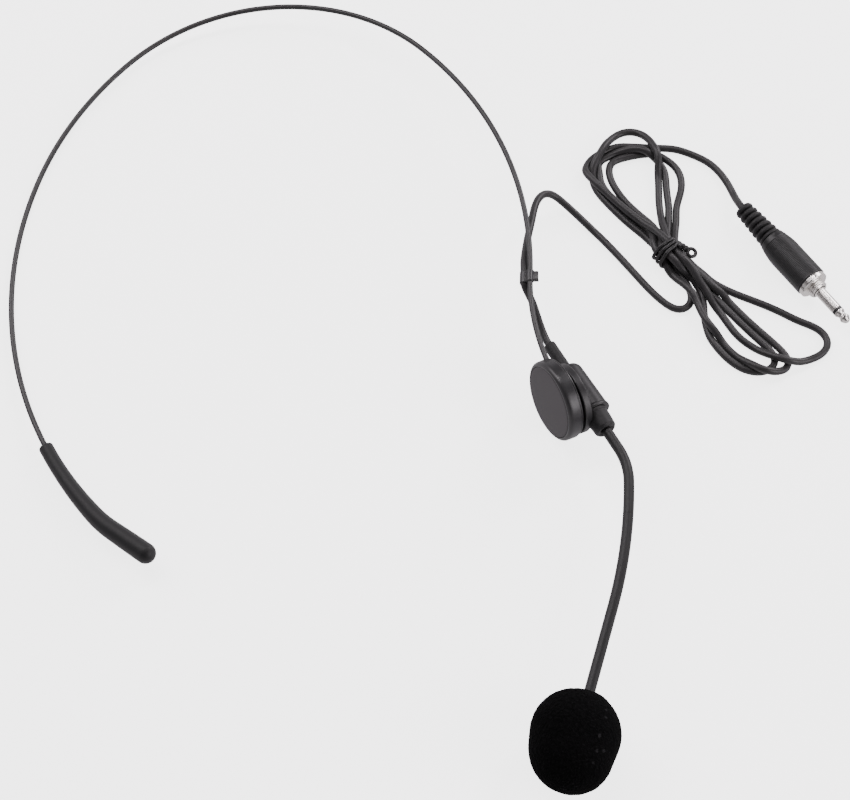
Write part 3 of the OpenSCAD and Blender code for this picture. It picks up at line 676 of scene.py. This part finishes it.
def tip_axis(s):
    if s <= 0:
        m = shift(s, 0, 0)
    elif s < TIP_L1:
        m = go([[131, math.degrees(s / 131)]])
    elif s < TIP_L2:
        m = go([[131, 12.9], [39.5, math.degrees((s - TIP_L1) / 39.5)]])
    else:
        m = go([[131, 12.9], [39.5, 11.5], [0, s - TIP_L2]])
    return m @ turn("y", 90)


def tip_rad(s):
    t = max(0.0, min(1.0, s / TIP_L))
    r = 2.3 + 0.95 * t * t * (3 - 2 * t)
    d = s - (TIP_L - 3.25)
    return r if d <= 0 else r * math.sqrt(max(0.0, 1 - (d / 3.25) ** 2))


outline = [(0.83, 8.0), (0.83, 2.7), (0.9, 2.55), (1.36, 2.4), (1.42, 2.2), (1.42, 0.3), (1.47, 0.12), (1.58, 0.0), (2.0, 0.0), (2.18, 0.05), (2.27, 0.18), (2.3, 0.4)]
outline += [(tip_rad(s), s) for s in np.arange(1.0, TIP_L - 3.25, 0.8)]
outline += [(tip_rad(TIP_L - 3.25 + 3.25 * math.sin(a)), TIP_L - 3.25 + 3.25 * math.sin(a)) for a in np.linspace(0, math.pi / 2, 14)[:-1]]
outline += [(0.0, TIP_L)]
verts, faces = lathe(outline, TIP, 40, axis=tip_axis)
ear = build("ear_tip_sleeve", verts, flip(faces), M["soft_black"])
finish_piece(ear, "headset", "soft_black", "ear_tip")


# --------------------------------------------------------------- cable clip

ang = np.linspace(0, TAU, 96, endpoint=False)
rim = []
for a in ang:
    c, s = math.cos(a), math.sin(a)
    best = 0.0
    for cx, r in ((-1.1, 1.22), (1.1, 1.42)):
        disc = r * r - (cx * s) ** 2
        if disc > 0:
            best = max(best, cx * c + math.sqrt(disc))
    rim.append(best)
rim = np.array(rim)
for _ in range(5):
    rim = (np.roll(rim, 1) + 2 * rim + np.roll(rim, -1)) / 4
body_outline = np.c_[1.1 + rim * np.cos(ang), rim * np.sin(ang)]
clip_levels = [(-2.2, 0.32), (-2.16, 0.16), (-2.05, 0.05), (-1.9, 0.0), (-1.7, 0), (0, 0), (1.7, 0), (1.9, 0.0), (2.05, 0.05), (2.16, 0.16), (2.2, 0.32)]
clip_body = prism(body_outline, CLIP_LEAN, clip_levels)
corner = 0.28
tab_outline = []
for (cx, cy), a0 in zip(((-2.65 + corner, -0.6 + corner), (-0.6, -0.6 + corner), (-0.6, 0.6 - corner), (-2.65 + corner, 0.6 - corner)), (180, 270, 0, 90)):
    for k in range(6):
        a = math.radians(a0 + 18 * k)
        tab_outline.append((cx + corner * math.cos(a), cy + corner * math.sin(a)))
tab = prism(tab_outline, CLIP, [(-1.75, 0.22), (-1.7, 0.1), (-1.6, 0.02), (-1.45, 0), (1.3, 0), (1.45, 0.02), (1.55, 0.1), (1.6, 0.22)])
lip_outline = [(x if x > -2.0 else x - 0.1, y * (1.0 if x > -2.0 else 1.2)) for x, y in tab_outline]
grip = prism(lip_outline, CLIP, [(-1.8, 0.2), (-1.75, 0.06), (-1.6, 0), (-1.35, 0), (-1.2, 0.06), (-1.15, 0.2)])
verts, faces = joined(clip_body, tab, grip)
clip = build("cable_clip_body", verts, faces, M["pad_black"])
finish_piece(clip, "headset", "pad_black", "cable_clip")


# --------------------------------------------------------------- temple pad

edge = [(11.6 + 1.3 * math.cos(a), 3.0 + 1.3 * math.sin(a)) for a in np.linspace(0, math.pi / 2, 9)]
shell = [(1.7, -1.05, 0), (4.9, -1.05, 0.12), (5.0, -0.3, 0.2), (9.6, -0.3, 0.1), (9.7, -0.62, 0.08), (12.3, -0.62, 0.12), (12.62, -0.4, 0.1), (12.68, -0.1, 0.04), (12.55, 0.0, 0.03), (12.55, 0.14, 0.03), (12.74, 0.22, 0.05), (12.9, 0.42, 0.1)]
profile = soften(shell + [(12.9, 2.6, 0)], 0.1, 3) + edge[1:] + [(11.62, 4.22), (11.58, 4.1), (11.56, 3.3)]
verts, faces = lathe(profile, PAD, 128)
pad_shell = build("temple_pad_shell", verts, faces, M["pad_black"])
finish_piece(pad_shell, "headset", "pad_black", "pad_shell")

face_pts = [(11.54, 3.4), (11.54, 4.02), (11.5, 4.16), (11.42, 4.27), (11.28, 4.35), (11.1, 4.4), (10.8, 4.425)]
face_pts += [(r, 4.43 + 0.07 * (1 - (r / 10.8) ** 2)) for r in np.linspace(10.4, 0.6, 24)] + [(0.0, 4.5)]
verts, faces = lathe(face_pts, PAD, 128)
pad_face = build("temple_pad_face", verts, faces, M["pad_soft"])
finish_piece(pad_face, "headset", "pad_soft", "pad_face")


# -------------------------------------------------------------- boom holder

flange_frame = PAD @ shift(1.5, 0, 0)
flange = lathe(soften([(0, -3.8), (8.6, -3.8, 0.1), (8.75, -3.65, 0.1), (9.4, -3.65, 0.1), (9.55, -3.8, 0.1), (11.2, -3.8, 0.5), (11.2, -1.42, 0.4), (5.4, -1.42, 0.1), (5.2, -1.66, 0.1), (0, -1.66)], 0.2, 5), flange_frame, 128)
barrel_frame = BARREL @ shift(0.75, 0, 0)
rear = [(0.85 + 3 * math.sin(a), -6.4 - 3 * math.cos(a)) for a in np.linspace(0.3, math.pi / 2, 14)]
barrel_profile = [(1.2, -9.0), (1.4, -9.36)] + rear + support([(3.86, -6.2), (4.28, 7.9)])[1:] + soften([(4.28, 8.0, 0), (4.18, 8.14, 0.05), (4.2, 8.3, 0.05), (4.52, 8.5, 0.12), (4.52, 9.15, 0.25), (4.25, 9.4, 0.1), (2.4, 9.4)], 0.1, 3)
barrel = lathe(barrel_profile, barrel_frame, 96)


def rounded_box(x0, x1, y0, y1, r, k=6):
    pts = []
    for cx, cy, a0 in ((x1 - r, y1 - r, 0), (x0 + r, y1 - r, 90), (x0 + r, y0 + r, 180), (x1 - r, y0 + r, 270)):
        for i in range(k + 1):
            a = math.radians(a0 + 90 * i / k)
            pts.append((cx + r * math.cos(a), cy + r * math.sin(a)))
    return np.array(pts)


wide, slim = rounded_box(-7.6, 9.0, -4.6, 4.6, 2.4), rounded_box(-6.6, 8.2, -3.7, 3.7, 1.6)
levels = []
for t, w in ((0.0, -3.7), (0.12, -3.95), (0.35, -4.3), (0.62, -4.7), (0.85, -5.2), (1.0, -5.8), (1.0, -6.6)):
    levels.append(put(PAD, np.c_[wide * (1 - t) + slim * t, np.full(len(wide), w)]))
n_box = len(wide)
neck_verts = np.vstack(levels + [levels[0].mean(0)[None], levels[-1].mean(0)[None]])
neck_faces = []
for i in range(len(levels) - 1):
    for k in range(n_box):
        k2 = (k + 1) % n_box
        neck_faces.append((i * n_box + k, (i + 1) * n_box + k, (i + 1) * n_box + k2, i * n_box + k2))
for k in range(n_box):
    k2 = (k + 1) % n_box
    neck_faces.append((len(neck_verts) - 2, k, k2))
    neck_faces.append((len(neck_verts) - 1, (len(levels) - 1) * n_box + k2, (len(levels) - 1) * n_box + k))
verts, faces = joined((list(flange[0]), flange[1]), (list(barrel[0]), barrel[1]), (list(neck_verts), neck_faces))
holder = build("boom_holder_body", verts, faces, M["holder_black"])
finish_piece(holder, "boom_holder", "holder_black", "holder_body")

collar_pts = [(1.7, 6.0, 0), (2.25, 6.0, 0.05), (2.25, 9.36, 0.02), (3.68, 9.42, 0.05), (3.85, 9.6, 0.1), (3.84, 10.3, 0.1), (3.7, 10.45, 0.05), (3.68, 10.65, 0.05), (3.78, 10.8, 0.08),
              (3.74, 12.6, 0), (3.5, 15.8, 0.45), (2.95, 16.5, 0.25), (2.3, 16.5, 0.12), (2.0, 16.2, 0.1), (1.72, 16.15, 0.05), (1.7, 14.0)]
verts, faces = lathe(soften(collar_pts, 0.1, 4), BARREL, 80)
collar = build("boom_collar_sleeve", verts, faces, M["soft_black"])
finish_piece(collar, "boom_holder", "holder_black", "boom_collar")

relief_pts = [(1.2, -7.0, 0), (1.2, -18.8, 0.04), (1.28, -19.15, 0.05), (1.9, -19.15, 0.2), (1.96, -18.4, 0), (2.02, -6.8, 0)]
verts, faces = lathe(soften(relief_pts, 0.1, 3), BARREL, 48)
relief = build("cable_strain_relief", verts, flip(faces), M["soft_black"])
finish_piece(relief, "boom_holder", "soft_black", "strain_relief")


# --------------------------------------------------------------------- boom

BOOM_R = 1.65
rear_line = put(BOOM, walk([[0, 3], [-23.5, 29.25]], 0.6) - np.array([0, 0, 0]))
into_barrel = put(BARREL, [[0, 0, z] for z in np.arange(3.2, 20.7, 0.7)])
mid_half = put(BOOM @ go([[0, 3], [-23.5, 29.25]]), walk([[-164, 4]], 0.8))
rear_path = np.vstack([into_barrel, rear_line[:-1], mid_half])
verts, faces = sweep(rear_path, BOOM_R, 24, ("flat", "flat"))
boom_rear = build("boom_sheath_rear", verts, faces, M["boom_black"])
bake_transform(boom_rear)
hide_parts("boom_rear", "boom_mid")
verts, faces = sweep(rear_path[1:], 0.6, 12)
core_rear = build("boom_core_wire_rear", verts, faces, M["core_copper"])
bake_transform(core_rear)
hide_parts("boom_core_rear", "boom_core_mid")

front_half = put(BOOM @ go([[0, 3], [-23.5, 29.25], [-164, 3.9]]), walk([[-164, 4.1]], 0.8))
to_mic = put(MID, walk([[-164, 6.7], [0, 35.5]], 0.8))
front_path = np.vstack([front_half[:-1], to_mic])
radii = np.full(len(front_path), BOOM_R)
radii[0] = BOOM_R - 0.02
verts, faces = sweep(front_path, radii, 24, ("flat", "flat"))
boom_front = build("boom_sheath_front", verts, faces, M["boom_black"])
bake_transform(boom_front)
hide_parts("boom_front")
verts, faces = sweep(front_path[1:-1], 0.6, 12)
core_front = build("boom_core_wire_front", verts, faces, M["core_copper"])
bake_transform(core_front)
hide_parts("boom_core_front")


# --------------------------------------------------------------- windscreen

def foam_outline():
    """Egg of two circles and their common tangent, from the mouth to the nose, then the bore from the mouth inwards."""
    r1, z1, r2, z2 = 13.05, 11.0, 12.25, 16.2
    lean = math.asin((r1 - r2) / (z2 - z1))
    pts = []
    for a in np.linspace(-math.pi / 2 + math.asin(3.4 / r1), lean, 74):
        pts.append((r1 * math.cos(a), z1 + r1 * math.sin(a)))
    for t in np.linspace(0, 1, 14)[1:-1]:
        pts.append((r1 * math.cos(lean) * (1 - t) + r2 * math.cos(lean) * t, (z1 + r1 * math.sin(lean)) * (1 - t) + (z2 + r2 * math.sin(lean)) * t))
    for a in np.linspace(lean, math.pi / 2, 72)[:-1]:
        pts.append((r2 * math.cos(a), z2 + r2 * math.sin(a)))
    pts.append((0.0, z2 + r2))
    mouth = [(4.45, 15.2), (4.5, 14.6), (4.5, 8), (4.5, 2.4), (4.3, 0.9), (3.4, 0.2), (2.5, -0.5), (2.15, -0.9), (2.05, -1.3), (2.2, -1.62), (2.7, -1.75)]
    inside = [(0.0, 15.4), (2.2, 15.4), (4.0, 15.4)]
    return inside + mouth + pts


verts, faces = lathe(foam_outline(), MIC, 260)
axis, aside = MIC[:3, 2], MIC[:3, 1]
foam_mid = put(MIC, [[0, -0.72, 13.2]])[0]
moved = []
for v in verts:
    v = np.asarray(v, float)
    along = (v - MIC[:3, 3]) @ axis
    side = np.linalg.norm(v - MIC[:3, 3] - along * axis)
    bulk = 1.0 if along > 15.6 else min(1.0, max(0.0, (side - 5) / 3))
    droop = min(1.0, max(0.0, (along - 6) / 20))
    v = v - (0.72 - 0.75 * droop * droop) * bulk * bulk * (3 - 2 * bulk) * aside
    rel = v - foam_mid
    out = np.linalg.norm(rel)
    if along > 15.6 or (side > 4.6 and out > 9):
        skin = 1.0 if along > 15.6 else min(1.0, (side - 4.6) / 1.5)
        p = Vector(v)
        lumps = 0.08 * noise.noise(p * 0.14) + 0.07 * noise.noise(p * 0.45 + Vector((7, 3, 1)))
        cell = noise.voronoi(p * 1.25)[0][0]
        fibre = noise.noise(p * 3.1 + Vector((1, 9, 4)))
        v = v + rel / out * skin * (lumps + 0.1 + 0.34 * min(cell, 0.75) + 0.06 * fibre)
    moved.append(v)
foam = build("foam_windscreen_ball", moved, faces, M["foam_black"])
finish_piece(foam, "windscreen", "foam_black", "foam_windscreen")


# --------------------------------------------------------------------- plug

RIB = 13 / 6.0


def boot_radius(r, z, ang):
    k = (z - 0.35) / RIB
    i = math.floor(k)
    if i < 0 or i > 5:
        return np.full(len(ang), r)
    d = abs(k - i - 0.8) * RIB
    g = max(0.0, 1 - (d / 0.5) ** 2)
    g = g * g * (3 - 2 * g)
    deep = 0.34 + 0.5 * np.clip(np.cos(ang - math.radians(165)), 0, 1) ** 1.5
    crown = 0.16 * math.cos(math.pi * min(1.0, abs(k - i - 0.3) / 0.5))
    return r + crown - deep * g


boot_pts = [(1.2, 1.2), (1.2, 0.3), (1.28, 0.08), (1.46, 0.0), (2.3, 0.0), (2.6, 0.05), (2.76, 0.16), (2.83, 0.3)]
boot_pts += [(2.85 + 0.95 * (z / 13.0), z) for z in np.arange(0.4, 13.31, 0.1)]
boot_pts += [(3.85, 13.4), (3.95, 13.6), (3.97, 14.2), (3.9, 14.36), (3.62, 14.4), (3.5, 14.5), (3.5, 15.6)]
verts, faces = lathe(boot_pts, PLUG, 72, radius=boot_radius)
boot = build("plug_cable_boot", verts, faces, M["soft_black"])
finish_piece(boot, "headset", "soft_black", "plug_boot")


def sleeve_radius(z):
    if z < 15:
        return 4.3
    t = min(1.0, (z - 15) / 6.0)
    return 4.3 + 0.95 * (1 - (1 - t) ** 1.6)


sleeve_pts = [(3.62, 16.2), (3.62, 14.75), (3.7, 14.62), (3.85, 14.58), (4.1, 14.62), (4.24, 14.74), (4.3, 14.95)]
z = 15.2
while z < 16.4:
    sleeve_pts.append((sleeve_radius(z), z))
    z += 0.2
while z < 33.6:
    r = sleeve_radius(z)
    sleeve_pts += [(r, z), (r, z + 0.24), (r - 0.07, z + 0.31), (r - 0.07, z + 0.45)]
    z += 0.52
sleeve_pts += [(5.25, 33.75), (5.25, 34.05), (5.22, 34.2), (5.14, 34.32), (5.02, 34.38), (4.2, 34.38), (4.1, 34.33), (4.05, 34.0)]
verts, faces = lathe(sleeve_pts, PLUG, 96)
sleeve = build("plug_lock_sleeve", verts, faces, M["plug_black"])
finish_piece(sleeve, "plug_lock", "plug_black", "lock_sleeve")


def thread_radius(r, z, ang):
    if not 36.35 < z < 38.35:
        return np.full(len(ang), r)
    f = (z / 0.7 - ang / TAU) % 1.0
    tooth = np.clip(1.6 * np.abs(2 * f - 1) - 0.3, 0, 1)
    fade = min(1.0, (z - 36.35) / 0.25, (38.35 - z) / 0.25)
    return r + 0.3 * tooth * fade


ring_pts = soften([(3.4, 34.42, 0), (4.84, 34.42, 0.05), (4.95, 34.56, 0.08), (4.95, 35.9, 0.25), (4.6, 36.2, 0.06), (4.3, 36.2, 0.05), (4.2, 36.1, 0.04), (3.5, 36.1, 0.05), (3.4, 36.25, 0.05), (3.05, 36.3, 0.04), (2.9, 36.35, 0)], 0.1, 3)
ring_pts += [(2.9, z) for z in np.arange(36.4, 38.34, 0.06)]
ring_pts += [(2.88, 38.38), (2.8, 38.52), (2.68, 38.6), (2.45, 38.6), (2.36, 38.52), (2.32, 38.3), (2.32, 37.4)]
verts, faces = lathe(ring_pts, PLUG, 96, radius=thread_radius)
thread = build("plug_lock_thread", verts, faces, M["nickel"])
finish_piece(thread, "plug_lock", "nickel", "lock_thread")

pin_pts = soften([(1.3, 37.2, 0), (1.3, 38.3, 0.03), (2.05, 38.36, 0.05), (2.1, 38.8, 0.08), (1.78, 38.95, 0.05), (1.75, 39.1, 0), (1.75, 46.85, 0.1), (1.62, 47.0, 0.03), (0.8, 47.0)], 0.05, 3)
verts, faces = lathe(pin_pts, PLUG, 64)
pin = build("plug_pin_sleeve", verts, faces, M["nickel"])
finish_piece(pin, "headset", "nickel", "sleeve_contact")

verts, faces = lathe(soften([(0.7, 46.9, 0), (1.66, 46.95, 0.03), (1.74, 47.08, 0.05), (1.74, 47.82, 0.05), (1.66, 47.95, 0.03), (0.7, 48.0)], 0.05, 3), PLUG, 64)
insulator = build("plug_pin_insulator", verts, faces, M["insulator_black"])
finish_piece(insulator, "headset", "insulator_black", "tip_insulator")

tip_pts = soften([(0.7, 47.9, 0), (1.64, 47.9, 0.04), (1.75, 48.02, 0.05), (1.75, 48.5, 0.1), (1.22, 49.35, 0.25), (1.22, 49.85, 0.25), (1.66, 50.7, 0.3), (1.58, 51.2, 0.3), (0.95, 52.25, 0.25), (0.35, 52.6, 0.2), (0, 52.6)], 0.1, 5)
verts, faces = lathe(tip_pts, PLUG, 64)
tip = build("plug_pin_tip", verts, faces, M["nickel"])
finish_piece(tip, "headset", "nickel", "tip_contact")


# ------------------------------------------------------------ floor and light

floor_mesh = bpy.data.meshes.new("floor")
floor_mesh.from_pydata([(-3, -3, 0), (3, -3, 0), (3, 3, 0), (-3, 3, 0)], [], [(0, 1, 2, 3)])
floor = bpy.data.objects.new("floor", floor_mesh)
scene.collection.objects.link(floor)
paper = material("floor_white", (0.86, 0.86, 0.86), (0.9, 0.9, 0.9), 0.7, blotch=3, grain=300, bump=0.02)
paper_bsdf = next(n for n in paper.node_tree.nodes if n.type == "BSDF_PRINCIPLED")
paper_bsdf.inputs["Emission Color"].default_value = (1, 1, 1, 1)
paper_bsdf.inputs["Emission Strength"].default_value = 3.2
floor_mesh.materials.append(paper)
floor.visible_diffuse = False
floor.visible_glossy = False

world = bpy.data.worlds.new("world")
scene.world = world
world.use_nodes = True
back_node = world.node_tree.nodes["Background"]
sky_coord = world.node_tree.nodes.new("ShaderNodeTexCoord")
sky_split = world.node_tree.nodes.new("ShaderNodeSeparateXYZ")
sky_range = world.node_tree.nodes.new("ShaderNodeMapRange")
sky_range.inputs["From Min"].default_value = -1
sky_ramp = world.node_tree.nodes.new("ShaderNodeValToRGB")
for at, value in ((0.0, 0.9), (0.44, 0.95), (0.56, 0.6), (0.72, 0.12), (1.0, 0.03)):
    stop = sky_ramp.color_ramp.elements[0] if at == 0 else sky_ramp.color_ramp.elements[-1] if at == 1 else sky_ramp.color_ramp.elements.new(at)
    stop.position = at
    stop.color = (value, value * 0.955, value * 1.0, 1)
world.node_tree.links.new(sky_coord.outputs["Generated"], sky_split.inputs[0])
world.node_tree.links.new(sky_split.outputs["Z"], sky_range.inputs["Value"])
world.node_tree.links.new(sky_range.outputs[0], sky_ramp.inputs["Fac"])
world.node_tree.links.new(sky_ramp.outputs["Color"], back_node.inputs["Color"])
back_node.inputs["Strength"].default_value = 1.0


def softbox(name, at, aim, size, power):
    data = bpy.data.lights.new(name, "AREA")
    data.shape = "RECTANGLE"
    data.size, data.size_y = size
    data.energy = power
    data.color = (1.0, 0.95, 0.985)
    lamp = bpy.data.objects.new(name, data)
    scene.collection.objects.link(lamp)
    lamp.location = at
    lamp.rotation_euler = (Vector(aim) - Vector(at)).to_track_quat("-Z", "Y").to_euler()


softbox("key", (-0.7, 0.55, 0.8), (0.05, 0, 0), (0.9, 0.9), 9)
softbox("fill", (0.9, -0.4, 0.5), (0.05, 0, 0), (0.6, 0.6), 7)
softbox("rim", (0.75, 0.75, 0.6), (0.05, 0, 0), (0.3, 0.6), 7)
softbox("strip", (-0.15, 0.5, 1.15), (0.05, 0, 0), (0.9, 0.05), 5.5)
